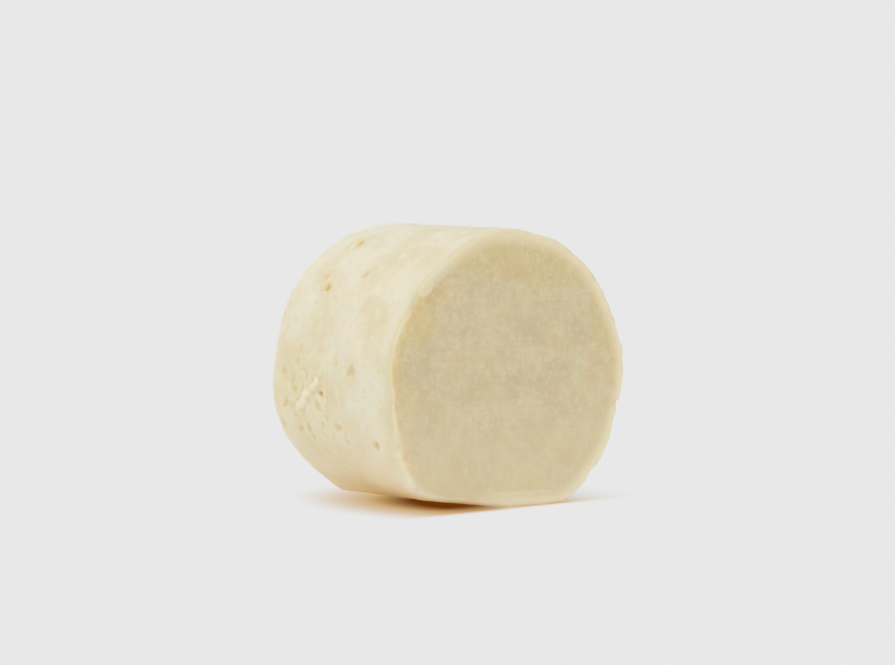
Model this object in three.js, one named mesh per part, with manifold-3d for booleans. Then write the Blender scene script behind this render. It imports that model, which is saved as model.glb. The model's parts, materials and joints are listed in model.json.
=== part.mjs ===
// Shaving soap puck: one hand-cut length of a round cast soap log, lying on the slumped flat of its side.
// Millimetres, +Z up. The log's axis runs along Y, halfway between the cut face (towards -Y) and the back
// face (towards +Y). The origin is on the resting flat, straight below the middle of the axis.
// An angle round the log is in degrees, 0 towards +X and 90 straight up.
import * as THREE from "three";
import { mergeVertices } from "three/addons/utils/BufferGeometryUtils.js";
import Module from "manifold-3d";

const PUCK_LENGTH = 43;
const PUCK_RADIUS = 28.6;
const AXIS_HEIGHT = 25.8; // less than the radius: the log slumped into a flat while it was soft
const LIFT_TILT = 7.4; // degrees: left of the flat the underside turns up a little, out to the foot
const LIFT_FALL = 1.1; // degrees: and the lift dies out towards the back face
const CUT_EDGE_RADIUS = 1.2; // the wire leaves this edge nearly crisp
const BACK_EDGE_RADIUS = 3.2; // the mould's end and handling leave this one well rounded

const SIDES = 96; // facets round the log
const WALL_RINGS = 14;
const EDGE_DIVISIONS = 2; // a path cuts an arc into twice this many pieces
const SCOOP_SIDES = 12;
const MERGE_DISTANCE = 1e-4;

const CUT_FACE = -PUCK_LENGTH / 2;
const BACK_FACE = PUCK_LENGTH / 2;

// Where the wall stands above or below a true cylinder. Each swell is a bell curve both ways: height is
// its middle's, and width and reach are its spreads, in degrees round the log and in mm along the axis.
const SWELLS = [
  // round the cut face
  { angle: 90, along: -22, width: 12, reach: 20, height: 0.8 },
  { angle: 124, along: -22, width: 10, reach: 12, height: -0.7 },
  { angle: 150, along: -22, width: 5, reach: 8, height: -0.4 },
  { angle: 168, along: -22, width: 6, reach: 9, height: 0.4 },
  { angle: -173, along: -22, width: 6, reach: 8, height: -0.4 },
  { angle: -151, along: -22, width: 9, reach: 14, height: 1.1 },
  { angle: -136, along: -22, width: 7, reach: 15, height: 2.2 }, // the slumped foot
  { angle: -116, along: -22, width: 6, reach: 14, height: -0.4 },
  { angle: -57, along: -22, width: 9, reach: 14, height: 1.4 },
  { angle: -44, along: -22, width: 5, reach: 14, height: -0.3 },
  { angle: -35, along: -22, width: 9, reach: 14, height: 1.1 },
  { angle: 4, along: -22, width: 13, reach: 9, height: 1.2 },
  { angle: 45, along: -22, width: 14, reach: 16, height: 0.9 },
  { angle: 64, along: -22, width: 6, reach: 14, height: 0.6 },
  // round the back face
  { angle: 95, along: 14, width: 18, reach: 12, height: 0.6 },
  { angle: 142, along: 20, width: 14, reach: 12, height: 0.4 },
  { angle: 166, along: 20, width: 9, reach: 10, height: -0.6 },
  { angle: -160, along: 20, width: 10, reach: 12, height: 0.7 },
  { angle: -128, along: 20, width: 16, reach: 14, height: -1.1 },
  { angle: -15, along: 10, width: 12, reach: 9, height: 0.5 },
];

// Holes left by air bubbles against the mould: the size of each along the axis, round the log and into
// the soap. tilt turns a pit on the wall, in degrees.
const PITS = [
  { angle: 143, along: 8, long: 2.2, wide: 1.8, deep: 0.8, tilt: 0 },
  { angle: 117, along: 11, long: 3.8, wide: 1.5, deep: 0.5, tilt: 40 },
  { angle: 135, along: -0.6, long: 3.0, wide: 2.4, deep: 0.35, tilt: 20 },
  { angle: 178, along: -7.3, long: 2.6, wide: 3.0, deep: 0.35, tilt: 70 },
  { angle: -173, along: 3, long: 1.6, wide: 2.0, deep: 1.2, tilt: 60 },
  { angle: -159, along: -1, long: 2.4, wide: 2.0, deep: 0.4, tilt: 0 },
  { angle: -154, along: -13.4, long: 2.2, wide: 1.8, deep: 0.7, tilt: 30 },
  { angle: -157, along: 10, long: 3.8, wide: 1.4, deep: 0.4, tilt: 75 },
  { angle: -167, along: 15, long: 3.0, wide: 2.0, deep: 0.4, tilt: 50 },
  { angle: 60, along: 6, long: 2.6, wide: 1.8, deep: 0.7, tilt: 30 },
  { angle: 22, along: 12, long: 2.0, wide: 1.7, deep: 0.8, tilt: 0 },
  { angle: -20, along: 2, long: 3.0, wide: 1.6, deep: 0.5, tilt: 65 },
];

// Bites out of the cut edge.
const CHIPS = [
  { angle: -13, long: 1.6, wide: 2.2, deep: 0.8 },
  { angle: 146, long: 1.8, wide: 3.4, deep: 1.1 },
];

const SOAP = new THREE.MeshStandardMaterial({ color: 0xe3d9bb, roughness: 0.55, metalness: 0 });

const wasm = await Module();
wasm.setup();

// A closed three.js geometry as a manifold-3d solid.
function solidOf(geometry) {
  const bare = geometry.clone().deleteAttribute("normal").deleteAttribute("uv");
  const merged = mergeVertices(bare, MERGE_DISTANCE);
  const corners = merged.index.array;
  const kept = [];
  for (let i = 0; i < corners.length; i += 3) {
    const [a, b, c] = corners.slice(i, i + 3);
    if (a !== b && b !== c && c !== a) kept.push(a, b, c); // triangles at a pole can come to nothing
  }
  return new wasm.Manifold(
    new wasm.Mesh({
      numProp: 3,
      vertProperties: merged.attributes.position.array,
      triVerts: new Uint32Array(kept),
    }),
  );
}

function geometryOf(solid) {
  const { vertProperties, triVerts } = solid.getMesh();
  const geometry = new THREE.BufferGeometry();
  geometry.setAttribute("position", new THREE.BufferAttribute(vertProperties, 3));
  geometry.setIndex(new THREE.BufferAttribute(triVerts, 1));
  geometry.computeVertexNormals();
  return geometry;
}

// How far the wall stands proud of a true cylinder, at an angle and a place along the axis.
function swellAt(angle, along) {
  let total = 0;
  for (const swell of SWELLS) {
    const turn = THREE.MathUtils.euclideanModulo(angle - swell.angle + 180, 360) - 180;
    const away = (turn / swell.width) ** 2 + ((along - swell.along) / swell.reach) ** 2;
    total += swell.height * Math.exp(-away / 2);
  }
  return total;
}

// Half of the log's lengthwise section: out along the back face, round its edge, down the wall,
// round the cut edge and back to the axis.
function sectionPoints() {
  const wallStart = BACK_FACE - BACK_EDGE_RADIUS;
  const wallEnd = CUT_FACE + CUT_EDGE_RADIUS;
  const section = new THREE.Path();
  section.moveTo(0, BACK_FACE);
  section.lineTo(PUCK_RADIUS - BACK_EDGE_RADIUS, BACK_FACE);
  section.absarc(PUCK_RADIUS - BACK_EDGE_RADIUS, wallStart, BACK_EDGE_RADIUS, Math.PI / 2, 0, true);
  for (let ring = 1; ring <= WALL_RINGS; ring++) {
    section.lineTo(PUCK_RADIUS, THREE.MathUtils.lerp(wallStart, wallEnd, ring / WALL_RINGS));
  }
  section.absarc(PUCK_RADIUS - CUT_EDGE_RADIUS, wallEnd, CUT_EDGE_RADIUS, 0, -Math.PI / 2, true);
  section.lineTo(0, CUT_FACE);
  return section.getPoints(EDGE_DIVISIONS);
}

// The log's shape before it slumped: a turned section, swollen by its lumps and hollows.
function logGeometry() {
  const log = new THREE.LatheGeometry(sectionPoints().reverse(), SIDES);
  const position = log.attributes.position;
  const point = new THREE.Vector3();
  for (let i = 0; i < position.count; i++) {
    point.fromBufferAttribute(position, i);
    const angle = THREE.MathUtils.radToDeg(Math.atan2(point.z, point.x));
    const stretch = 1 + swellAt(angle, point.y) / PUCK_RADIUS;
    position.setXYZ(i, point.x * stretch, point.y, point.z * stretch);
  }
  return log.translate(0, 0, AXIS_HEIGHT);
}

// A smooth scoop with its middle on the wall, turned to face outwards.
function scoop({ angle, along, long, wide, deep, tilt = 0 }) {
  const turn = THREE.MathUtils.degToRad(angle);
  const radius = PUCK_RADIUS + swellAt(angle, along);
  return new THREE.SphereGeometry(1, SCOOP_SIDES, SCOOP_SIDES / 2)
    .scale(deep, long / 2, wide / 2)
    .rotateX(THREE.MathUtils.degToRad(tilt))
    .translate(radius, 0, 0)
    .rotateY(-turn)
    .translate(0, along, AXIS_HEIGHT);
}

// Everything below the surface that the puck stands on.
function belowTheFlat() {
  const depth = PUCK_RADIUS;
  return new THREE.BoxGeometry(4 * PUCK_RADIUS, 4 * PUCK_LENGTH, depth).translate(0, 0, -depth / 2);
}

// The same block, tilted about the middle of the cut face's lower edge, for the part that turns up.
function belowTheLift() {
  return belowTheFlat()
    .rotateX(THREE.MathUtils.degToRad(-LIFT_FALL))
    .rotateY(THREE.MathUtils.degToRad(LIFT_TILT))
    .translate(0, CUT_FACE, 0);
}

function soapPuck() {
  let puck = solidOf(logGeometry());
  const cuts = [
    belowTheFlat(),
    belowTheLift(),
    ...PITS.map(scoop),
    ...CHIPS.map((chip) => scoop({ ...chip, along: CUT_FACE })),
  ];
  for (const cut of cuts) puck = puck.subtract(solidOf(cut));
  const mesh = new THREE.Mesh(geometryOf(puck), SOAP);
  mesh.name = "soap_puck";
  return mesh;
}

const part = new THREE.Group();
part.add(soapPuck());

export default part;
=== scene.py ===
# %% [markdown]
# # A hand-cut shaving soap puck
#
# The puck is one piece of soap. It was cast as a round log in a tube, left to harden, and cut across
# with a wire. While it was still soft it lay on its side, so it slumped into a flat that it now rests
# on. The CAD solid gives its true size and its larger lumps and pits. Here a finer skin is made over
# that solid, in the same place, and then the soap's colours, the light and the camera.

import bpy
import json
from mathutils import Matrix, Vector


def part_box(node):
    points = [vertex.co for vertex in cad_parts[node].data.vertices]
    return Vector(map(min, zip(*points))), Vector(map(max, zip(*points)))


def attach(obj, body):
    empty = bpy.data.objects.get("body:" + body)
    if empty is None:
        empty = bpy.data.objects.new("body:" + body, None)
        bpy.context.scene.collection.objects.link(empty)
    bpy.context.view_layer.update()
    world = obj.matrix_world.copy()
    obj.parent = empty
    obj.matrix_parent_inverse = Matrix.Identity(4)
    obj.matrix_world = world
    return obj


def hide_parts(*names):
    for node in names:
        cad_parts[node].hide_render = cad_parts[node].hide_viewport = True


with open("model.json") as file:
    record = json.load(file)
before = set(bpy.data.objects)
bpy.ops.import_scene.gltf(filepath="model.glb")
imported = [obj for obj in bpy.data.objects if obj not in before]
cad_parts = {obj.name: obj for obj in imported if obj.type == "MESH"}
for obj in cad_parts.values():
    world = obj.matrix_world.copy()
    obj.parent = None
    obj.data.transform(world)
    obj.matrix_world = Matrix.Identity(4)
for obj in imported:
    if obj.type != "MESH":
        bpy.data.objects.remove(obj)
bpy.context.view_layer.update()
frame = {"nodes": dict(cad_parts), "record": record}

# %% [markdown]
# Blender counts in metres, and a puck of soap is easier to think about in millimetres, so one
# constant turns one into the other. The places of the cut face, the back face and the axis come from
# the record's mounts, and the radius from the solid's own box. A place on the puck's wall is named by
# its angle round the log, 0 towards +X and 90 straight up, and by how far along the axis it is, from
# the cut face at -Y to the back face at +Y.

# %% Read the puck's main sizes from the frame
import json
import math

import bpy
import numpy as np
from mathutils import Vector, noise

MM = 0.001
TOP_SWELL = 0.8  # mm that the log's top stands above a true circle

mounts = {mount["name"]: Vector(mount["pos_m"]) / MM for mount in frame["record"]["mounts"]}
CUT_FACE = mounts["cut_face"].y
BACK_FACE = mounts["back_face"].y
AXIS_HEIGHT = mounts["cut_face"].z
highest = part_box("soap_puck")[1] / MM
RADIUS = highest.z - AXIS_HEIGHT - TOP_SWELL
print(f"cut face at {CUT_FACE:.1f} mm, back face at {BACK_FACE:.1f} mm")
print(f"axis {AXIS_HEIGHT:.1f} mm above the flat, radius {RADIUS:.1f} mm")

# %% [markdown]
# The skin starts as a copy of the CAD solid, because that already has the slumped flat, the foot that
# squashed out under the cut face and the larger pits. The copy's triangles are loose, so they are
# merged first. Remesh then lays an even net of small quads over it, fine enough to press marks of a
# millimetre into, and Smooth rubs out the facets, as fingers and drying rubbed the real edges round.

# %% Copy the solid and lay a fine, even net over it
NET_SIZE = 0.4  # fine enough for the marks, and under 200,000 triangles in all


def select_only(piece):
    """Make this the one selected and active object, ready for an operator."""
    bpy.ops.object.select_all(action="DESELECT")
    piece.select_set(True)
    bpy.context.view_layer.objects.active = piece


def apply_modifier(piece, kind, **settings):
    """Add a modifier, set it up and apply it."""
    select_only(piece)
    modifier = piece.modifiers.new(kind.title(), kind)
    for name, value in settings.items():
        setattr(modifier, name, value)
    bpy.ops.object.modifier_apply(modifier=modifier.name)


def smooth_out(piece, times, group=""):
    """Smooth a piece, or one group of its points, this many times over."""
    apply_modifier(piece, "SMOOTH", factor=0.5, iterations=times, vertex_group=group)


skin = bpy.data.objects.new("puck_skin", frame["nodes"]["soap_puck"].data.copy())
bpy.context.scene.collection.objects.link(skin)
skin.data.materials.clear()
select_only(skin)
bpy.ops.object.mode_set(mode="EDIT")
bpy.ops.mesh.select_all(action="SELECT")
bpy.ops.mesh.remove_doubles(threshold=0.001 * MM)
bpy.ops.object.mode_set(mode="OBJECT")
apply_modifier(skin, "REMESH", mode="VOXEL", voxel_size=NET_SIZE * MM)
smooth_out(skin, times=6)
print("quads in the net:", len(skin.data.polygons))

# %% [markdown]
# Marks are pressed into the net by moving its points, which is what a sculpting brush does. numpy
# moves all of them at once. The first helpers read the points into an array in millimetres and write
# them back, and the others say where each point is on the wall.

# %% Helpers that read, place and write the net's points


def read_points(piece):
    points = np.empty(len(piece.data.vertices) * 3, np.float32)
    piece.data.vertices.foreach_get("co", points)
    return points.reshape(-1, 3).astype(float) / MM


def write_points(piece, points):
    piece.data.vertices.foreach_set("co", (points * MM).astype(np.float32).ravel())
    piece.data.update()


def read_normals(piece):
    normals = np.empty(len(piece.data.vertices) * 3, np.float32)
    piece.data.vertices.foreach_get("normal", normals)
    return normals.reshape(-1, 3).astype(float)


def wall_places(points):
    """Each point's angle round the log in degrees, and its distance from the log's axis."""
    side, up = points[:, 0], points[:, 2] - AXIS_HEIGHT
    return np.degrees(np.arctan2(up, side)), np.hypot(side, up)


def step(value, start, end):
    """0 before start, 1 past end, and smooth between."""
    share = np.clip((value - start) / (end - start), 0, 1)
    return share * share * (3 - 2 * share)


def turn_between(angle, other):
    """The shortest turn from one angle to another, in degrees."""
    return (angle - other + 180) % 360 - 180


def arc_from(angle, angles):
    """How far round the log each point lies from one angle, in mm."""
    return np.radians(turn_between(angles, angle)) * RADIUS


points = read_points(skin)
angles, distances = wall_places(points)
print(f"points from {distances.min():.1f} to {distances.max():.1f} mm from the axis")

# %% [markdown]
# Five kinds of skin need their own relief. The wall took the mould's lumps and dried with a grain on
# it. The zone low on its back left is rough, where the soap stuck to the mould and tore. The cut edge
# is nibbled by the wire. The cut face is nearly flat, and the back face a little less so. Each kind
# gets a vertex group, and a Displace modifier pushes the group's points along their normals by a
# Clouds texture. The lip on the left of the resting flat and the rim on its right are rounded with
# Smooth first, because the soft soap sagged there.

# %% Paint the groups that each relief is limited to
ROUGH_ZONE = {"angle": -168, "along": 9, "width": 24, "reach": 12}  # degrees round, mm along
LIP = {"angle": -128, "full": 15.6, "width": 26}  # degrees round: smoothed fully as far as full
FLAT_RIM = {"angle": -59, "full": 4.4, "width": 11}
GROUP_STRENGTHS = 20  # a group is painted in this many strengths


def paint_group(piece, name, weights):
    """Make a vertex group of these weights, one for each point."""
    group = piece.vertex_groups.new(name=name)
    levels = np.round(np.clip(weights, 0, 1) * GROUP_STRENGTHS).astype(int)
    for level in range(1, GROUP_STRENGTHS + 1):
        chosen = np.flatnonzero(levels == level)
        if len(chosen):
            group.add(chosen.tolist(), level / GROUP_STRENGTHS, "REPLACE")


from_cut = points[:, 1] - CUT_FACE
from_back = BACK_FACE - points[:, 1]
off_the_flat = step(points[:, 2], 0.3, 1.5)
on_the_wall = step(from_cut, 0.3, 1.5) * step(from_back, 0.2, 3)
rough_spread = np.hypot(
    turn_between(angles, ROUGH_ZONE["angle"]) / ROUGH_ZONE["width"],
    (points[:, 1] - ROUGH_ZONE["along"]) / ROUGH_ZONE["reach"],
)
in_the_rough = 1 - step(rough_spread, 0.5, 1.3)
near_cut_edge = (1 - step(from_cut, 0.2, 2.5)) * step(distances, RADIUS - 1.5, RADIUS - 0.3)
on_the_lip = 1 - step(np.abs(turn_between(angles, LIP["angle"])), LIP["full"], LIP["width"])
lip_edge = (1 - step(from_cut, 1.5, 4)) * step(distances, RADIUS - 5, RADIUS - 3)
paint_group(skin, "lip", on_the_lip * lip_edge)
off_the_rim = np.abs(turn_between(angles, FLAT_RIM["angle"]))
paint_group(skin, "flat's right rim", 1 - step(off_the_rim, FLAT_RIM["full"], FLAT_RIM["width"]))
paint_group(skin, "wall", on_the_wall * off_the_flat)
paint_group(skin, "rough zone", on_the_wall * off_the_flat * in_the_rough)
paint_group(skin, "cut edge", near_cut_edge * off_the_flat * (1 - 0.7 * on_the_lip))
paint_group(skin, "cut face", 1 - step(from_cut, 0.1, 0.5))
paint_group(skin, "back face", 1 - step(from_back, 0.1, 0.5))
print("groups:", [group.name for group in skin.vertex_groups])

# %% Push each group's points in and out


def push_by_clouds(piece, group, size, height):
    """Displace a group's points by a cloud pattern of this size and full height, in mm."""
    texture = bpy.data.textures.new(f"{group} relief", "CLOUDS")
    texture.noise_scale = size * MM
    texture.noise_depth = 2
    apply_modifier(
        piece, "DISPLACE",
        texture=texture, texture_coords="LOCAL", strength=height * MM, mid_level=0.5, vertex_group=group,
    )


smooth_out(skin, times=60, group="lip")
smooth_out(skin, times=60, group="flat's right rim")
smooth_out(skin, times=25, group="wall")
push_by_clouds(skin, "wall", size=7, height=0.4)
push_by_clouds(skin, "wall", size=1.8, height=0.1)
push_by_clouds(skin, "rough zone", size=3.2, height=0.5)
push_by_clouds(skin, "rough zone", size=1.4, height=0.6)
push_by_clouds(skin, "cut edge", size=2.6, height=0.6)
push_by_clouds(skin, "cut face", size=3, height=0.08)
push_by_clouds(skin, "cut face", size=1.1, height=0.05)
push_by_clouds(skin, "back face", size=2.2, height=0.2)
print("relief pushed into", len(skin.data.vertices), "points")

# %% [markdown]
# Next come the single marks. Air bubbles against the mould left pits in the wall, and a few tore open
# when the log was pushed out. Each pit is a bowl pressed towards the log's axis. A little noise makes
# its rim uneven, and the amount of yellow in it is kept for the colours. The yellow is partly painted
# glow, for light that goes into a pit comes back through soap, and partly the soap's own colour, for
# the bottom never gets the pale bloom that dries on the wall.
# The solid's own pits have hard rims, so Smooth fills those places in before the soft bowls are
# pressed.

# %% Press the pits into the wall
PITS = [
    # angle in degrees; along, long, wide and deep in mm; tilt in degrees; yellow, partly painted glow and
    # partly stain, from 0 to 1
    (117, 10.6, 4.4, 2.0, 0.14, 113, 0.85),
    (121, 12.6, 1.4, 1.2, 0.1, 110, 0.4),
    (143, 8.2, 3.2, 3.0, 0.05, 0, 0.6),
    (143, 7.7, 2.2, 2.2, 0.06, 0, 0.95),
    (144, 9.6, 1.6, 1.6, 0.14, 0, 0.4),
    (138, 10.4, 2.4, 2.2, 0.17, 0, 0.5),
    (135, -1.2, 3.6, 2.8, 0.28, 20, 0.55),
    (131, -3.2, 2.0, 1.6, 0.1, 20, 0.3),
    (124, -1.0, 3.0, 1.0, 0.14, 30, 0.3),
    (177, -7.8, 2.8, 3.0, 0.35, 10, 0.6),
    (174, -2.4, 2.4, 2.0, 0.21, 60, 0.4),
    (-173, 2.8, 1.4, 1.8, 0.42, 60, 1.0),
    (-168, 4.0, 2.2, 3.0, 0.26, 20, 0.6),
    (-159.4, -1.5, 2.8, 2.2, 0.35, 0, 0.6),
    (-154, -3.4, 1.8, 2.2, 0.21, 0, 0.4),
    (-154.5, -14.1, 2.6, 2.4, 0.24, 30, 0.75),
    (-155.2, -14.5, 1.5, 1.4, 0.15, 0, 0.9),
    (-168, 15.2, 3.4, 1.6, 0.24, 60, 0.5),
    (-167, 13.5, 1.6, 1.6, 0.21, 0, 0.4),
    (179, 15.1, 2.6, 2.4, 0.24, 0, 0.5),
    (-178, 11.8, 3.4, 1.4, 0.21, 75, 0.45),
    (175, 10.8, 2.0, 1.6, 0.21, 0, 0.4),
    (169, 10.4, 2.8, 1.0, 0.21, 70, 0.35),
    (-158, 8.9, 4.0, 1.6, 0.28, 70, 0.5),
    (-154, 8.5, 3.0, 1.4, 0.24, 80, 0.4),
    (-157, 12.1, 3.0, 1.6, 0.24, 50, 0.4),
    (-159, 17.6, 2.2, 3.4, 0.28, 10, 0.5),
    (-174, 11.3, 1.6, 1.8, 0.24, 0, 0.45),
    (-163, 1.6, 2.2, 1.6, 0.17, 30, 0.35),
    (-160, 3.4, 1.6, 1.8, 0.17, 0, 0.35),
    (-176, -12.3, 1.8, 0.7, 0.17, 20, 0.25),
    (176, -9.4, 1.2, 0.9, 0.14, 0, 0.25),
    (176, -12.3, 1.8, 0.6, 0.14, 70, 0.2),
    (170, 3.3, 1.4, 1.0, 0.14, 0, 0.3),
    (171, -4.2, 1.5, 1.2, 0.14, 0, 0.3),
    (-162, -9.2, 2.0, 0.9, 0.17, 45, 0.3),
    (-166, -14.1, 1.4, 1.2, 0.14, 0, 0.25),
    (146, -9.7, 1.2, 0.8, 0.1, 0, 0.2),
    (150, 9.3, 2.0, 1.0, 0.17, 50, 0.3),
    (158, 14.0, 2.4, 1.6, 0.14, 30, 0.3),
    (-172, -8.7, 1.4, 1.0, 0.14, 0, 0.25),
    (100, -15.8, 1.4, 0.8, 0.14, 0, 0.45),
    (102, -12.7, 1.0, 0.8, 0.1, 0, 0.35),
    (60, 6, 3.0, 2.2, 0.35, 30, 0.6),
    (22, 12, 2.6, 2.2, 0.35, 0, 0.6),
    (-20, 2, 3.4, 2.0, 0.32, 65, 0.5),
    (40, -6, 1.8, 1.2, 0.17, 20, 0.35),
    (5, -3, 1.8, 1.4, 0.21, 50, 0.35),
    (-35, 12, 2.4, 1.4, 0.24, 10, 0.4),
    (76, 15, 1.8, 1.4, 0.21, 0, 0.4),
    (-10, 16, 1.6, 1.4, 0.21, 0, 0.35),
]
NOTCH_ANGLE = 146  # the solid's notch in the cut edge is filled in too, and pressed anew later
NOTCH_REACH = 3  # mm from the notch's middle that are filled in
WALL_DEPTH = 6  # marks on the wall move only the points within this many mm of its surface
RAGGED = 0.5  # how far a pit's rim strays from an oval, as a share of its size
RAGGED_SIZE = 0.9  # mm, from one stray to the next


def ragged(places, size, amount):
    """Uneven numbers from about -amount to amount that change over this many mm."""
    return amount * np.array([noise.noise(Vector(place) / size) for place in places])


def oval_spread(lengthwise, across, long, wide, tilt):
    """0 in the middle of a tilted oval and 1 on its rim. The places are from its middle."""
    turn = math.radians(tilt)
    u = lengthwise * math.cos(turn) + across * math.sin(turn)
    v = across * math.cos(turn) - lengthwise * math.sin(turn)
    return np.hypot(u / (long / 2), v / (wide / 2))


def move_out(points, chosen, amounts):
    """Move the chosen points straight away from the log's axis by these amounts, in mm."""
    distances = wall_places(points)[1][chosen]
    stretch = 1 + amounts / np.maximum(distances, 1)
    points[chosen, 0] *= stretch
    points[chosen, 2] = AXIS_HEIGHT + (points[chosen, 2] - AXIS_HEIGHT) * stretch


points = read_points(skin)
angles, distances = wall_places(points)
filled = np.zeros(len(points))
for angle, along, long, wide, *_ in PITS:
    off = np.hypot(arc_from(angle, angles), points[:, 1] - along) / max(long, wide)
    filled = np.maximum(filled, (1 - step(off, 0.7, 1.0)) * (distances > RADIUS - WALL_DEPTH))
off = np.hypot(arc_from(NOTCH_ANGLE, angles), points[:, 1] - CUT_FACE)
filled = np.maximum(filled, 1 - step(off, NOTCH_REACH - 1, NOTCH_REACH))
paint_group(skin, "filled pits", filled)
smooth_out(skin, times=100, group="filled pits")

points = read_points(skin)
glow_and_stain = np.zeros(len(points))
for angle, along, long, wide, deep, tilt, tint in PITS:
    angles, distances = wall_places(points)
    across = arc_from(angle, angles)
    lengthwise = points[:, 1] - along
    close = np.hypot(across, lengthwise) < max(long, wide)
    near = np.flatnonzero(close & (distances > RADIUS - WALL_DEPTH))
    spread = oval_spread(lengthwise[near], across[near], long, wide, tilt)
    spread += ragged(points[near], RAGGED_SIZE, RAGGED)
    move_out(points, near, -deep * (1 - step(spread, 0.1, 1.2)))
    glow_and_stain[near] = np.maximum(glow_and_stain[near], tint * (1 - step(spread, 0.2, 1.3)))
write_points(skin, points)
print("pits pressed:", len(PITS))

# %% [markdown]
# Where the soap stuck to the mould it also smeared: a pale ridge was dragged up beside the deepest
# pit. On the cut face the wire left the opposite of pits. It dragged a wrinkle of soft soap along the
# bottom, folded a few crumbs over, and left a tongue of the wall's skin lying on the face.

# %% Raise the smeared ridges and the wrinkles
SMEARS = [
    # angle and along at a run of points, then width and height in mm
    ([(-166.5, 10.4), (-169, 8.8), (-172, 7.2)], 2.8, 0.5),
    ([(-171.5, 7.6), (-174.5, 5.6), (-177.5, 3.4)], 1.9, 0.5),
    ([(-178, 3.6), (177.5, 2.2)], 1.0, 0.25),
    ([(-170.5, 1.4), (-167, 2.2)], 1.0, 0.2),
    ([(-163, 6.5), (-159.5, 6.0)], 1.2, 0.25),
    ([(-172, 13.0), (-176, 13.4)], 1.2, 0.2),
]
WRINKLES = [
    # x and height at a run of points, then width and height in mm
    ([(-3.0, 3.2), (0.2, 2.4), (3.2, 3.1), (6.0, 2.2), (8.2, 3.0), (10.5, 2.3)], 0.8, 0.2),
    ([(-10.6, 9.6), (-10.0, 8.4), (-10.6, 7.2)], 0.6, 0.2),
    ([(2.6, 11.6), (3.8, 12.6), (4.8, 12.0)], 0.6, 0.2),
    ([(0.4, 20.4), (1.4, 21.6)], 0.6, 0.15),
    ([(-21.0, 24.4), (-19.6, 24.9)], 0.5, 0.15),
    ([(-20.2, 17.0), (-19.8, 18.9)], 0.5, 0.15),
    ([(-9.6, 18.2), (-9.0, 16.9)], 0.6, 0.2),
    ([(-14.4, 34.6), (-12.4, 33.2)], 0.5, 0.15),
    ([(-1.8, 49.0), (-0.8, 47.6)], 0.5, 0.15),
    ([(2.0, 44.0), (3.6, 43.4), (4.6, 44.0)], 0.6, 0.2),
    ([(-18.6, 44.6), (-19.2, 43.4), (-20.8, 42.3)], 1.0, 0.25),
]
SMEAR_REACH = 14  # mm round the log from its first point that a smear can move
WRINKLE_DEPTH = 1.2  # a wrinkle moves only the points within this many mm of the cut face


def distance_to_run(places, run):
    """How far each flat place is from a line through the run's points."""
    nearest = np.full(len(places), np.inf)
    for start, end in zip(run[:-1], run[1:]):
        start, end = np.array(start), np.array(end)
        along = np.clip((places - start) @ (end - start) / np.sum((end - start) ** 2), 0, 1)
        off = np.linalg.norm(places - start - along[:, None] * (end - start), axis=1)
        nearest = np.minimum(nearest, off)
    return nearest


points = read_points(skin)
bloom = np.zeros(len(points))
for run, width, height in SMEARS:
    angles, distances = wall_places(points)
    first_angle = run[0][0]
    across = arc_from(first_angle, angles)
    flat_run = [(math.radians(turn_between(angle, first_angle)) * RADIUS, along) for angle, along in run]
    near = np.flatnonzero((np.abs(across) < SMEAR_REACH) & (distances > RADIUS - WALL_DEPTH))
    off = distance_to_run(np.stack([across, points[:, 1]], axis=1)[near], flat_run)
    crest = 1 - step(off / (width / 2) + ragged(points[near], size=1.4, amount=0.6), 0, 1.2)
    move_out(points, near, height * crest)
    bloom[near] = np.maximum(bloom[near], crest)
for run, width, height in WRINKLES:
    near = np.flatnonzero(points[:, 1] < CUT_FACE + WRINKLE_DEPTH)
    off = distance_to_run(points[near][:, [0, 2]], run)
    crest = 1 - step(off / (width / 2) + ragged(points[near], size=1.0, amount=0.4), 0.1, 1.1)
    points[near, 1] -= height * crest
    bloom[near] = np.maximum(bloom[near], crest)
write_points(skin, points)
print("ridges raised:", len(SMEARS) + len(WRINKLES))

# %% [markdown]
# The cut edge isn't even. The wire broke a notch out of it high on the left, beside the tongue, and
# nicks show on the right and low on the left. The points near the edge are drawn in for these. Fresh
# soap shows yellow in them, and in a few soft patches of the face, so the stain is painted there too.

# %% Bite the chips out of the cut edge and stain the fresh soap
CHIPS = [
    # angle, width round the edge, how far it goes in from the edge, and along the wall, in mm
    (147, 3.0, 0.5, 1.0),
    (152, 2.0, 0.3, 0.8),
    (-13, 1.8, 0.7, 1.6),
    (-150, 1.6, 0.4, 0.8),
]
STAINED_PATCHES = [
    # x, height, length and width in mm, tilt in degrees, strength
    (-22.2, 40.2, 6.0, 2.2, 62, 0.3),
    (-19.6, 41.4, 3.0, 1.8, 30, 0.5),
    (-16.6, 43.2, 5.0, 3.4, 20, 0.3),
    (-16.0, 45.4, 5.0, 2.4, 20, 0.3),
    (1.0, 47.0, 12.0, 5.0, -10, 0.22),
    (21.0, 27.0, 5.0, 12.0, 0, 0.2),
    (14.5, 9.5, 7.0, 5.0, -40, 0.22),
    (-12.0, 10.0, 5.0, 4.0, 0, 0.15),
    (4.0, 3.8, 6.0, 1.6, 0, 0.2),
]
CHIP_STAIN = 0.2
STAIN_DEPTH = 0.8  # a patch stains only the points within this many mm of the cut face

points = read_points(skin)
for angle, width, inwards, along in CHIPS:
    angles, distances = wall_places(points)
    across = arc_from(angle, angles)
    near = np.flatnonzero((np.abs(across) < 2 * width) & (points[:, 1] < CUT_FACE + 2 * along))
    off = np.hypot(across[near] / (width / 2), (points[near, 1] - CUT_FACE) / along)
    off += ragged(points[near], size=0.8, amount=0.35)
    bite = (1 - step(off, 0.4, 1.1)) * step(distances[near], RADIUS - 3, RADIUS - 0.5)
    move_out(points, near, -inwards * bite)
    glow_and_stain[near] = np.maximum(glow_and_stain[near], CHIP_STAIN * bite)
points[:, 2] = np.maximum(points[:, 2], 0)
write_points(skin, points)

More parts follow.
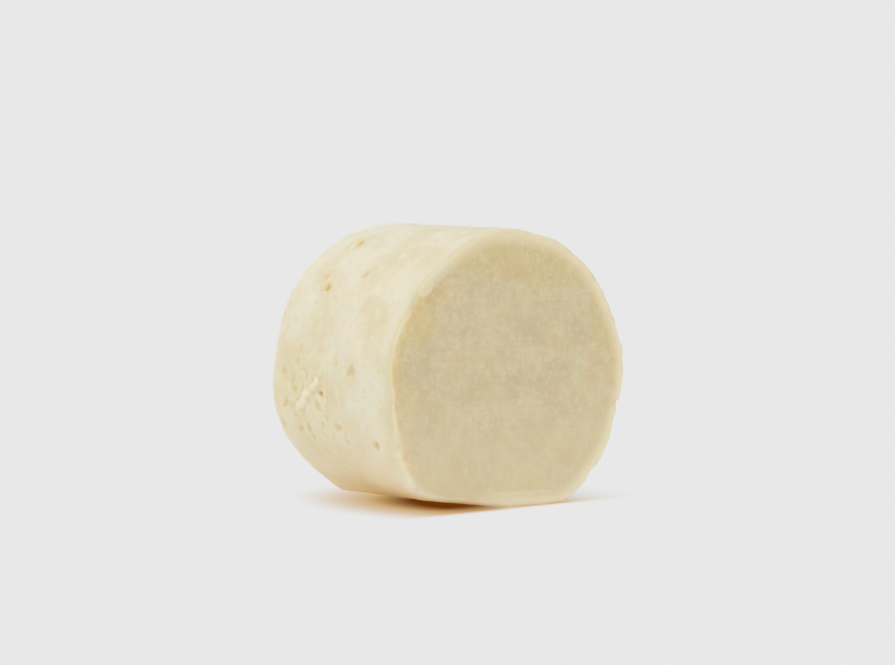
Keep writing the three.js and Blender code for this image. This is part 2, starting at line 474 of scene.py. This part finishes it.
face_points = np.flatnonzero(points[:, 1] < CUT_FACE + STAIN_DEPTH)
for x, height, long, wide, tilt, strength in STAINED_PATCHES:
    side, up = points[face_points, 0] - x, points[face_points, 2] - height
    spread = oval_spread(side, up, long, wide, tilt)
    spread += ragged(points[face_points], size=2.0, amount=0.4)
    patch = strength * (1 - step(spread, 0.2, 1.2))
    glow_and_stain[face_points] = np.maximum(glow_and_stain[face_points], patch)
print("chips bitten:", len(CHIPS), "and patches stained:", len(STAINED_PATCHES))

# %% [markdown]
# The colours need to know what each point of the skin is: how much yellow it has, partly painted glow
# and partly stain, and how much bloom, whether it is a hollow or a crest, and how far inside the cut
# face's outline it lies. A smoothed copy of the skin tells hollows from crests, by how far the real
# skin lies under it or over it. The wall's skin ends on the worn cut edge as a rind, and high on the
# left it hangs over the face as a ragged tongue, so its reach is kept too. All are stored on the skin
# as named attributes, for the material to read.

# %% Store what the colours need
RIND = [
    # angle, and how far in from the outline the rind reaches over the cut face there, in mm
    (-168, 0.9), (-158, 1.2), (-150, 1.0), (-138, 1.1), (-126, 1.6), (-112, 1.2), (-95, 0.6),
    (-60, 0.6), (0, 0.5), (60, 0.8),
    (90, 1.6), (115, 2.2), (130, 2.4), (134, 2.3),
    (138, 2.3), (141, 2.0), (142, 1.0), (144, 0.9), (150, 1.1), (157, 1.2), (166, 0.8), (180, 0.6),
]
HOLLOW_DEPTH = 0.22  # a point this far under the smoothed skin, in mm, counts as a full hollow
HOLLOWS_OUTSIDE = 0.4  # how much a hollow counts outside the rough zone
ROUGH_TINT = 0.35  # how much of a hollow the whole rough zone counts as
OUTLINE_PARTS = 90  # the outline's reach is measured in this many directions
OUTLINE_DEPTH = 1.5  # and over this many mm behind the cut face


def store(piece, name, values):
    """Store one number for each point, under a name."""
    attribute = piece.data.attributes.new(name, "FLOAT", "POINT")
    attribute.data.foreach_set("value", values.astype(np.float32))


smoothed = skin.copy()
smoothed.data = skin.data.copy()
bpy.context.scene.collection.objects.link(smoothed)
smooth_out(smoothed, times=40)
rise = np.sum((points - read_points(smoothed)) * read_normals(smoothed), axis=1)
bpy.data.objects.remove(smoothed)

angles, distances = wall_places(points)
parts = ((angles + 180) / 360 * OUTLINE_PARTS).astype(int) % OUTLINE_PARTS
reach = np.zeros(OUTLINE_PARTS)
at_the_cut = points[:, 1] < CUT_FACE + OUTLINE_DEPTH
np.maximum.at(reach, parts[at_the_cut], distances[at_the_cut])
part_angles = (np.arange(OUTLINE_PARTS) + 0.5) / OUTLINE_PARTS * 360 - 180
inside = np.interp(angles, part_angles, reach, period=360) - distances

store(skin, "glow_and_stain", glow_and_stain)
store(skin, "bloom", bloom)
hollow = np.clip(-rise / HOLLOW_DEPTH, 0, 1) * np.maximum(in_the_rough, HOLLOWS_OUTSIDE)
store(skin, "hollow", np.minimum(hollow + ROUGH_TINT * in_the_rough, 1))
store(skin, "crest", np.clip(rise / HOLLOW_DEPTH, 0, 1))
store(skin, "inside", inside)
rind_angles, rind_widths = zip(*RIND)
rind = np.interp(angles, rind_angles, rind_widths, period=360)
store(skin, "rind", rind + ragged(points, size=1.6, amount=0.45))
skin.vertex_groups.clear()
select_only(skin)
bpy.ops.object.shade_smooth()
print(f"rise over the smoothed skin: {rise.min():.2f} to {rise.max():.2f} mm")

# %% [markdown]
# A few crumbs stick to the cut edge where the wire came out. Each is an ico sphere, flattened and
# turned as a crumb would be, and pushed out of round with Displace. It is added at the skin's nearest
# point, sunk in a little, so that it sits in the soap. They are joined into one piece, because they
# are the same soap.

# %% Add the crumbs along the cut edge
CRUMBS = [
    # x, forwards of the cut face, height, size in mm, and a turn in degrees
    (-27.9, -0.1, 21.3, 0.8, 20),
    (-27.6, -0.5, 22.4, 0.5, 70),
    (-27.4, -0.1, 13.6, 1.1, -30),
    (-26.7, 0.0, 12.9, 0.7, 40),
    (-22.6, -0.2, 5.4, 1.2, -50),
    (-21.7, -0.1, 4.6, 0.8, 10),
    (27.3, -0.2, 20.0, 0.7, 0),
    (-16.3, -0.05, 25.0, 0.35, 0),
]
CRUMB_SHAPE = (0.7, 0.55, 1.25)  # how a round crumb is flattened and drawn out
CRUMB_SINK = 0.2  # how far a crumb's middle lies under the skin, as a share of its size


def make_crumbs():
    """Add each crumb as a ball at its place, flatten and turn it, and join them all."""
    crumbs = []
    for x, forwards, height, size, turn in CRUMBS:
        bpy.ops.object.select_all(action="DESELECT")
        wanted = Vector((x, CUT_FACE + forwards, height)) * MM
        surface_place, outwards = skin.closest_point_on_mesh(wanted)[1:3]
        place = surface_place - outwards * size * CRUMB_SINK * MM
        bpy.ops.mesh.primitive_ico_sphere_add(subdivisions=3, radius=size * 0.5 * MM, location=place)
        crumb = bpy.context.object
        bpy.ops.object.mode_set(mode="EDIT")
        bpy.ops.mesh.select_all(action="SELECT")
        bpy.ops.transform.resize(value=CRUMB_SHAPE, center_override=place)
        bpy.ops.transform.rotate(value=math.radians(turn), orient_axis="Y", center_override=place)
        bpy.ops.object.mode_set(mode="OBJECT")
        crumbs.append(crumb)
    select_only(crumbs[0])
    for crumb in crumbs:
        crumb.select_set(True)
    bpy.ops.object.join()
    joined = bpy.context.object
    joined.name = "edge_crumbs"
    bpy.ops.object.transform_apply(location=True, rotation=True, scale=True)
    texture = bpy.data.textures.new("crumb relief", "CLOUDS")
    texture.noise_scale = 0.5 * MM
    apply_modifier(
        joined, "DISPLACE",
        texture=texture, texture_coords="LOCAL", strength=0.2 * MM, mid_level=0.5,
    )
    select_only(joined)
    bpy.ops.object.shade_smooth()
    return joined


crumbs = make_crumbs()
print("crumbs:", len(CRUMBS), "with", len(crumbs.data.polygons), "faces")

# %% [markdown]
# The soap is a hard tallow and olive oil bar. Light goes a few millimetres into it and comes out
# again, red light the furthest, so edges and pits glow warm: that is subsurface scattering. The wall
# dried with a pale, dusty bloom. The cut face is fresher soap, darker and greyer, with pale fibres of
# soap crystals in it and a yellower ring round the outside, strongest high up.
#
# A shader is built from many nodes, so one helper adds a node and does everything that is always done
# with it: it sets the node's properties and sockets and links other nodes into it. Four more make the
# kinds of node that come again and again: noise, a smooth ramp, a product and a mix of two colours.

# %% Helpers for materials


def linear(hex_colour):
    """An sRGB hex colour such as "E8E8E8" as the linear RGBA that a shader works in."""
    shares = [int(hex_colour[i:i + 2], 16) / 255 for i in (0, 2, 4)]
    return tuple(s / 12.92 if s <= 0.04045 else ((s + 0.055) / 1.055) ** 2.4 for s in shares) + (1,)


def add(tree, kind, settings=None, links=None):
    """Add a shader node. Settings are its properties and sockets, links the nodes or sockets to link in."""
    node = tree.nodes.new("ShaderNode" + kind)
    values = dict(settings or {})
    for name in [name for name in values if hasattr(node, name)]:
        setattr(node, name, values.pop(name))
    sockets = {}
    for socket in reversed([socket for socket in node.inputs if socket.enabled]):
        sockets[socket.identifier] = socket
        sockets[socket.name] = socket
    for name, value in values.items():
        sockets[name].default_value = value
    for name, source in (links or {}).items():
        if isinstance(source, bpy.types.Node):
            source = next(output for output in source.outputs if output.enabled)
        tree.links.new(source, sockets[name])
    return node


def blobs(tree, place, size, detail, distortion=0.0):
    """Noise in blobs of about this many mm."""
    settings = {"Scale": 1 / (size * MM), "Detail": detail, "Distortion": distortion}
    return add(tree, "TexNoise", settings, {"Vector": place})


def ramp(tree, value, start, end, top=1.0, bottom=0.0):
    """bottom up to start, top from end on, and smooth between. start may be the larger of the two."""
    settings = {"From Min": start, "From Max": end, "To Min": bottom, "To Max": top}
    return add(tree, "MapRange", settings | {"interpolation_type": "SMOOTHSTEP"}, {"Value": value})


def product(tree, first, second):
    """Two values multiplied. The second may be a plain number."""
    if isinstance(second, float):
        return add(tree, "Math", {"operation": "MULTIPLY", "Value_001": second}, {"Value": first})
    return add(tree, "Math", {"operation": "MULTIPLY"}, {"Value": first, "Value_001": second})


def mix(tree, under, over, share):
    """One colour laid over another by a share. Each colour is a hex colour or a node."""
    settings = {"data_type": "RGBA"}
    links = {"Factor": share}
    for socket, colour in (("A", under), ("B", over)):
        if isinstance(colour, str):
            settings[socket] = linear(colour)
        else:
            links[socket] = colour
    return add(tree, "Mix", settings, links)


print("cream in linear light:", [round(c, 3) for c in linear("E3D9BB")[:3]])

# %% [markdown]
# The soap's colours are laid one over another, the broad ones first. The wall and the cut face are
# worked out separately, and a share made from the stored distances says which of the two shows.

# %% Mix the soap
MARKS = ("glow_and_stain", "bloom", "hollow", "crest", "inside", "rind")  # as they are stored on the skin


def dried_wall(tree, place, marks):
    """The wall's colours: pale bloom of uneven thickness, and yellow where there is none."""
    # broad warmer and paler areas, as thick as the bloom on them
    area = ramp(tree, blobs(tree, place, size=9, detail=3.0), 0.38, 0.64)
    wall = mix(tree, "EAE4CE", "E5DBBA", area)
    # a dapple of bloom, in blobs of 2 mm
    dapple = ramp(tree, blobs(tree, place, size=2.2, detail=3.0), 0.5, 0.72, top=0.5)
    wall = mix(tree, wall, "F0EAD4", dapple)
    # and small yellow flecks between them, where the bloom is thin
    thin = ramp(tree, blobs(tree, place, size=1.3, detail=2.0), 0.42, 0.3, top=0.4)
    wall = mix(tree, wall, "E1D5AA", thin)
    # no bloom in hollows, thick bloom on crests and smears
    wall = mix(tree, wall, "E4D29A", product(tree, marks["hollow"], 0.6))
    wall = mix(tree, wall, "F1ECD9", product(tree, marks["crest"], 0.2))
    wall = mix(tree, wall, "F0E8D2", product(tree, marks["bloom"], 0.5))
    # the pits: tan at the rims, deeper yellow where they are deepest, partly painted glow and partly bare
    # of bloom
    wall = mix(tree, wall, "E4D09C", ramp(tree, marks["glow_and_stain"], 0.05, 0.6, top=0.75))
    return mix(tree, wall, "E0BE62", ramp(tree, marks["glow_and_stain"], 0.6, 0.95, top=0.9))


def cut_edge_and_painted_light(tree, place, split, wall, high):
    """The wall's colours with the worn cut edge over them: tan, with painted shade on the edge's round, and
    pale on the low lip with painted light.
    """
    # a band behind the edge, its border wandering a little
    wobble = add(
        tree, "MapRange", {"To Min": -0.4 * MM, "To Max": 0.4 * MM},
        {"Value": blobs(tree, place, size=2.0, detail=3.0)},
    )
    border = add(tree, "Math", {"operation": "ADD"}, {"Value": split["Y"], "Value_001": wobble})
    over_lip = ramp(tree, split["Z"], 12 * MM, 20 * MM)
    band = ramp(tree, border, (CUT_FACE + 3.8) * MM, (CUT_FACE + 1.2) * MM, top=0.7)
    band_colour = mix(tree, "DDD0A6", "E2DCC1", high)
    wall = mix(tree, wall, band_colour, product(tree, band, over_lip))
    # painted shade, darker on the round of the edge itself where it catches the light, and the rind that
    # hangs over the face
    edge_round_shade = ramp(tree, split["Y"], (CUT_FACE + 1.4) * MM, (CUT_FACE + 0.7) * MM, top=0.65)
    wall = mix(tree, wall, "D8D2B4", product(tree, edge_round_shade, over_lip))
    on_face = ramp(tree, split["Y"], (CUT_FACE + 0.8) * MM, (CUT_FACE + 0.2) * MM, top=0.9)
    wall = mix(tree, wall, "E8DFC1", on_face)
    # light comes through the lip where it overhangs the board, so it looks paler
    overhang = ramp(tree, split["Z"], 9 * MM, 3 * MM, top=0.5)
    lip_edge = ramp(tree, split["Y"], (CUT_FACE + 5) * MM, (CUT_FACE + 1) * MM)
    return mix(tree, wall, "F8F1DE", product(tree, overhang, lip_edge))


def fresh_face(tree, place, split, marks, high):
    """The cut face's colours: greyer soap, with its ring, fibres, grains and the wire's streaks."""
    cloud = ramp(tree, blobs(tree, place, size=6, detail=3.0), 0.38, 0.62)
    face = mix(tree, "E0D0AB", "E6D7B2", cloud)
    # the yellower ring, its inner border wandering by a few mm; inside is in mm
    wander = add(
        tree, "MapRange", {"From Min": 0.3, "From Max": 0.7, "To Min": -4.0, "To Max": 4.0},
        {"Value": blobs(tree, place, size=9, detail=2.0)},
    )
    border = add(tree, "Math", {"operation": "ADD"}, {"Value": marks["inside"], "Value_001": wander})
    ring = ramp(tree, border, 9.0, 3.0, top=0.8)
    face = mix(tree, face, "E4D39E", product(tree, ring, high))
    # crystal fibres: the thin curled lines where a twisted noise crosses one value
    curls = blobs(tree, place, size=1.5, detail=2.0, distortion=2.5)
    off_line = add(tree, "Math", {"operation": "SUBTRACT", "Value_001": 0.55}, {"Value": curls})
    line_gap = add(tree, "Math", {"operation": "ABSOLUTE"}, {"Value": off_line})
    line = ramp(tree, line_gap, 0.05, 0.0, top=0.7)
    grove = ramp(tree, blobs(tree, place, size=5, detail=2.0), 0.42, 0.62)
    face = mix(tree, face, "F0E7CC", product(tree, line, grove))
    # a fine mottle of darker and paler grains
    grains = blobs(tree, place, size=1.3, detail=2.0)
    face = mix(tree, face, "D6C498", ramp(tree, grains, 0.48, 0.3, top=0.3))
    face = mix(tree, face, "EEE4C8", ramp(tree, grains, 0.54, 0.7, top=0.4))
    # the wire's streaks: noise drawn out along X
    drawn_out = add(
        tree, "VectorMath", {"operation": "MULTIPLY", "Vector_001": (0.12, 1, 1.6)}, {"Vector": place},
    )
    streak = ramp(tree, blobs(tree, drawn_out, size=1.6, detail=2.0), 0.56, 0.7, top=0.16)
    face = mix(tree, face, "D3C296", streak)
    # painted light from the board below: low down the face is a little paler
    face = mix(tree, face, "EBE0BA", ramp(tree, split["Z"], 26 * MM, 8 * MM, top=0.45))
    # light comes through the thin rim on the right, so it looks paler
    rim = ramp(tree, marks["inside"], 4.0, 0.6)
    right = ramp(tree, split["X"], -16 * MM, 2 * MM, top=0.85)
    face = mix(tree, face, "F7EFD4", product(tree, rim, right))
    # pale on the wrinkles and folds, and yellow in the stained patches
    face = mix(tree, face, "F0E8CE", product(tree, marks["bloom"], 0.4))
    return mix(tree, face, "E4C088", marks["glow_and_stain"])


def cut_share(tree, split, marks):
    """1 where the wire left fresh soap, and 0 on the wall and its rind."""
    # the rind ends in a crisp line, but on top it was rubbed, and fades into the face
    past_rind = add(
        tree, "Math", {"operation": "SUBTRACT"}, {"Value": marks["inside"], "Value_001": marks["rind"]},
    )
    rubbed = ramp(tree, split["Z"], 44 * MM, 50 * MM, top=1.4, bottom=0.25)
    blurred = add(tree, "Math", {"operation": "DIVIDE"}, {"Value": past_rind, "Value_001": rubbed})
    bare = ramp(tree, blurred, -1.0, 1.0)
    wired = ramp(tree, split["Y"], (CUT_FACE + 1.1) * MM, (CUT_FACE + 0.7) * MM)
    return product(tree, wired, bare)


def make_soap():
    """Soap with a pale dried wall and a fresher cut face."""
    material = bpy.data.materials.new("hand-cut tallow soap")
    material.use_nodes = True
    tree = material.node_tree
    tree.nodes.clear()
    place = add(tree, "TexCoord").outputs["Object"]
    split = add(tree, "SeparateXYZ", links={"Vector": place}).outputs
    marks = {name: add(tree, "Attribute", {"attribute_name": name}) for name in MARKS}

    high = ramp(tree, split["Z"], 14 * MM, 34 * MM, bottom=0.15)
    wall = cut_edge_and_painted_light(tree, place, split, dried_wall(tree, place, marks), high)
    face = fresh_face(tree, place, split, marks, high)
    cut = cut_share(tree, split, marks)
    colour = mix(tree, wall, face, cut)
    # painted warm light low down, bounced up from the warm gap the puck stands over, but not on the lip or
    # the face
    low_warm_light = ramp(tree, split["Z"], 20 * MM, 0.0, top=0.65)
    off_edge = ramp(tree, split["Y"], (CUT_FACE + 1) * MM, (CUT_FACE + 6) * MM)
    colour = mix(tree, colour, "EFD8A4", product(tree, low_warm_light, off_edge))

    grain = blobs(tree, place, size=0.5, detail=4.0)
    fine = add(tree, "Bump", {"Strength": 0.3, "Distance": 0.12 * MM}, {"Height": grain})
    lumps = blobs(tree, place, size=2.5, detail=2.0)
    bump = add(tree, "Bump", {"Strength": 0.3, "Distance": 0.3 * MM}, {"Height": lumps, "Normal": fine})
    roughness = add(tree, "MapRange", {"To Min": 0.6, "To Max": 0.48}, {"Value": cut})
    soap = add(
        tree, "BsdfPrincipled",
        {
            "Subsurface Weight": 1.0,
            "Subsurface Radius": (1.0, 0.65, 0.35),
            "Subsurface Scale": 3.0 * MM,
            "IOR": 1.46,
            "Specular IOR Level": 0.35,
        },
        {"Base Color": colour, "Roughness": roughness, "Normal": bump},
    )
    add(tree, "OutputMaterial", links={"Surface": soap})
    return material


def make_crumb_soap():
    """The crumbs dried right through, so they are one pale colour."""
    material = bpy.data.materials.new("dry soap crumbs")
    material.use_nodes = True
    surface = material.node_tree.nodes["Principled BSDF"]
    surface.inputs["Base Color"].default_value = linear("EFE5CA")
    surface.inputs["Roughness"].default_value = 0.6
    return material


skin.data.materials.append(make_soap())
crumbs.data.materials.append(make_crumb_soap())
for piece in (skin, crumbs):
    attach(piece, "root")
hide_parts("soap_puck")
print("materials:", [material.name for material in bpy.data.materials if material.users])

# %% [markdown]
# The puck stands on a plain pale surface that runs on without a horizon. Far from the puck the board
# simply glows the backdrop's own grey, so the two can't be told apart. On the left the puck's side
# overhangs the board, and soap lets warm light through into that gap. A path tracer needs a great many
# samples to find such light, so the gap's shadow and warm light are painted on the board: tan at its
# mouth and a deep brown painted shadow where the puck comes down, given off as a glow of its own. On
# the other sides it takes real light and shade, and fades into the backdrop a few centimetres out. Only
# along the front, where the soap touches the board, is painted warm light laid on it too.
# Suns are used in place of area lights because they light a board evenly all over, and a sun with a
# wide angle is as soft as a big diffuser.

# %% Lay the floor and set the light
BACKDROP = "E8E8E8"
FLOOR_SIZE = 12  # m, so that no view reaches its end
FLOOR_DROP = 0.03  # mm from the puck's flat down to the board, so that the two don't share a plane


def make_floor():
    """A board with a painted shadow and glow in the gap, real shade and a painted warm strip near the puck,
    and plain grey far out.
    """
    bpy.ops.object.select_all(action="DESELECT")
    bpy.ops.mesh.primitive_plane_add(size=FLOOR_SIZE, location=(0, 0, -FLOOR_DROP * MM))
    floor = bpy.context.object
    floor.name = "floor"
    material = bpy.data.materials.new("matt white board")
    material.use_nodes = True
    tree = material.node_tree
    tree.nodes.clear()
    place = add(tree, "TexCoord").outputs["Object"]
    split = add(tree, "SeparateXYZ", links={"Vector": place}).outputs

    # the gap on the left, where the puck's side overhangs the board: distances from the middle of it
    shifted = add(
        tree, "VectorMath", {"operation": "ADD", "Vector_001": (0, 10 * MM, 0)}, {"Vector": place},
    )
    squeezed = add(
        tree, "VectorMath", {"operation": "MULTIPLY", "Vector_001": (1, 0.75, 0)}, {"Vector": shifted},
    )
    out = add(tree, "VectorMath", {"operation": "LENGTH"}, {"Vector": squeezed})
    gap = ramp(tree, split["X"], 5 * MM, -5 * MM)
    # all shading ends a few mm before the cut face
    slanted = add(
        tree, "Math", {"operation": "MULTIPLY_ADD", "Value_001": -0.1},
        {"Value": split["X"], "Value_002": split["Y"]},
    )
    front = ramp(tree, slanted, -25.5 * MM, -20.6 * MM)

    # painted shadow and glow in the gap, given off by the board: tan at its mouth, deep brown shade where
    # the puck comes down
    near = ramp(tree, out, 34 * MM, 15 * MM)
    backdrop_with_painted_gap_shadow = mix(tree, BACKDROP, "CEA86E", product(tree, near, product(tree, gap, front)))
    under = ramp(tree, out, 20 * MM, 10 * MM)
    deep = ramp(tree, slanted, -24 * MM, -13 * MM)
    backdrop_with_painted_gap_shadow = mix(tree, backdrop_with_painted_gap_shadow, "6E3400", product(tree, under, product(tree, gap, deep)))

    # the other sides take a share of the real light and shade
    off_gap = ramp(tree, split["X"], -5 * MM, 5 * MM)
    right = ramp(tree, split["X"], 42 * MM, 10 * MM, top=0.75)
    behind = ramp(tree, split["Y"], 44 * MM, 16 * MM)
    shade = product(tree, product(tree, off_gap, right), product(tree, front, behind))
    # painted warm light on the strip along the front where the soap touches the board
    touching = ramp(tree, slanted, -26 * MM, -22.5 * MM)
    before = ramp(tree, split["Y"], -13 * MM, -20 * MM)
    beside = ramp(tree, split["X"], 28 * MM, 12 * MM)
    painted_warm_strip = product(tree, touching, product(tree, before, beside))
    lit = add(tree, "BsdfDiffuse", links={"Color": mix(tree, "F2EFE8", "FFCC78", painted_warm_strip)})
    own = add(tree, "Emission", {"Strength": 1.0}, {"Color": backdrop_with_painted_gap_shadow})
    both = add(tree, "MixShader", links={"Fac": shade, "Shader": own, "Shader_001": lit})
    add(tree, "OutputMaterial", links={"Surface": both})
    floor.data.materials.append(material)


def add_sun(name, towards, strength, width):
    """A soft sun. towards is the way to it, and width is its angle in degrees."""
    light = bpy.data.lights.new(name, "SUN")
    light.energy = strength
    light.angle = math.radians(width)
    lamp = bpy.data.objects.new(name, light)
    lamp.rotation_euler = Vector(towards).to_track_quat("Z", "Y").to_euler()
    bpy.context.scene.collection.objects.link(lamp)


def make_backdrop(strength):
    """A flat grey to look at, and an even white dome to light by."""
    world = bpy.data.worlds.new("studio")
    bpy.context.scene.world = world
    world.use_nodes = True
    tree = world.node_tree
    tree.nodes.clear()
    dome = add(tree, "Background", {"Color": (1, 1, 1, 1), "Strength": strength})
    shown = add(tree, "Background", {"Color": linear(BACKDROP), "Strength": 1.0})
    eye = add(tree, "LightPath").outputs["Is Camera Ray"]
    both = add(tree, "MixShader", links={"Fac": eye, "Shader": dome, "Shader_001": shown})
    add(tree, "OutputWorld", links={"Surface": both})


make_floor()
make_backdrop(strength=0.62)
add_sun("overhead diffuser", towards=(0.1, 0.3, 1), strength=0.5, width=80)
add_sun("side diffuser", towards=(-0.9, -0.4, 0.45), strength=0.9, width=80)

# %% [markdown]
# The camera stands well back with a long lens, which keeps the puck's sides nearly parallel, as in a
# product picture. It looks a little down on the puck, from the left of the cut face.

# %% Set up the camera
VIEW_TURN = -36.34  # degrees from straight before the cut face
VIEW_RISE = 3.66  # degrees above the horizon
VIEW_DISTANCE = 751.2  # mm
VIEW_MIDDLE = Vector((0.1, -1.1, 33.6))
LENS_LENGTH = 150  # mm, with a sensor 36 mm wide

turn, rise = math.radians(VIEW_TURN), math.radians(VIEW_RISE)
back = Vector((math.sin(turn) * math.cos(rise), -math.cos(turn) * math.cos(rise), math.sin(rise)))
lens = bpy.data.cameras.new("camera")
lens.lens = LENS_LENGTH
lens.sensor_width = 36
lens.clip_start = 0.01
camera = bpy.data.objects.new("camera", lens)
camera.location = (VIEW_MIDDLE + back * VIEW_DISTANCE) * MM
camera.rotation_euler = back.to_track_quat("Z", "Y").to_euler()
bpy.context.scene.collection.objects.link(camera)
bpy.context.scene.camera = camera
bpy.context.scene.view_settings.view_transform = "Standard"
print("camera at", [round(c, 3) for c in camera.location])
